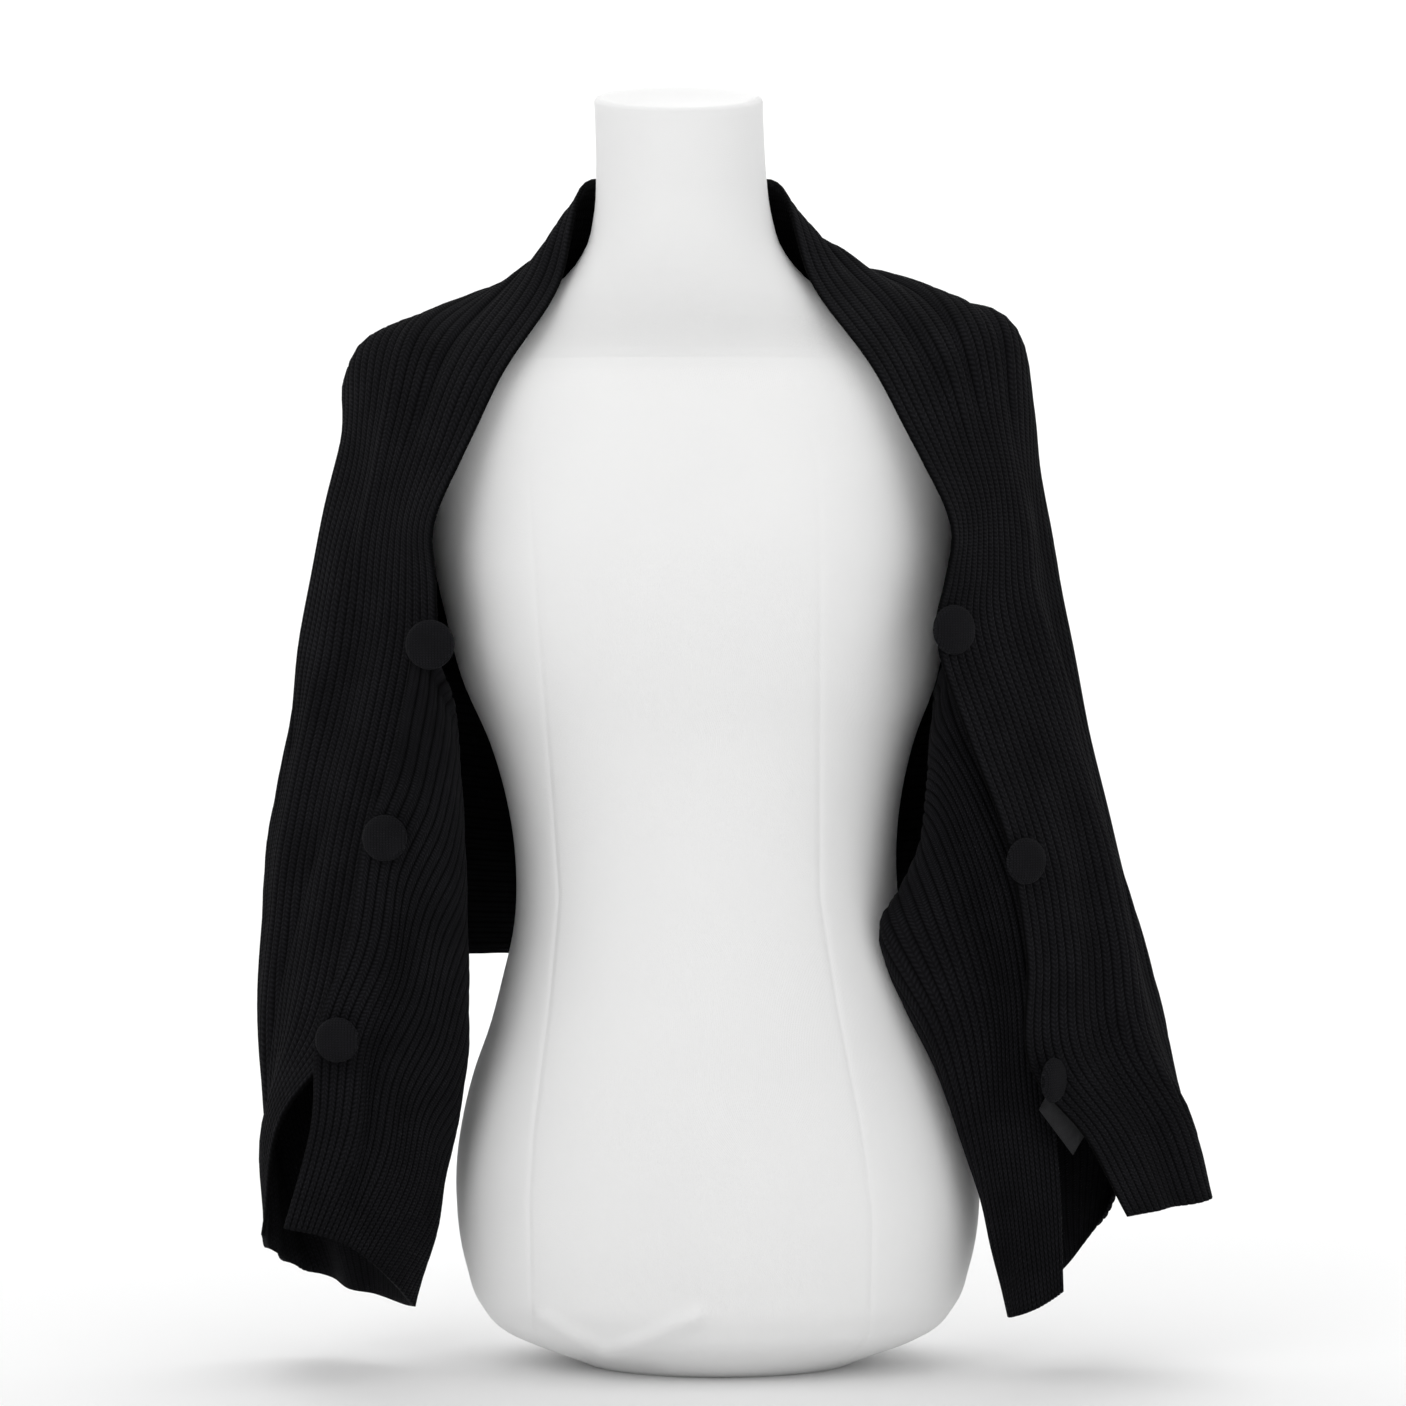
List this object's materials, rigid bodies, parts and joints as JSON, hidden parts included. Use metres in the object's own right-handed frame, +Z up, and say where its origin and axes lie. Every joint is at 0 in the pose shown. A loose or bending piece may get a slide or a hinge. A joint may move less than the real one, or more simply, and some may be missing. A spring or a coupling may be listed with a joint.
{
  "type": "knitted shrug on dress form",
  "caption": "Open-front rib-knit shrug with buttoned sleeves, draped on a limbless dress form with a neck and a flat base.",
  "frame": {"origin": "middle of the dress form's flat base", "axes": "+Z up along the form, +Y towards its back, +X to the viewer's right when facing its front"},
  "size_m": [0.5949, 0.225, 0.8123],
  "materials": {
    "white_cover": "matte stretch cover",
    "black_knit": "matte rib knit",
    "black_button_knit": "matte fine knit",
    "black_satin": "woven satin"
  },
  "bodies": {
    "root": {"dress_form": "white_cover", "back_panel": "black_knit", "sleeve_left": "black_knit", "sleeve_right": "black_knit", "button_left_1": "black_button_knit", "button_left_2": "black_button_knit", "button_left_3": "black_button_knit", "button_right_1": "black_button_knit", "button_right_2": "black_button_knit", "button_right_3": "black_button_knit", "label": "black_satin"}
  },
  "joints": []
}
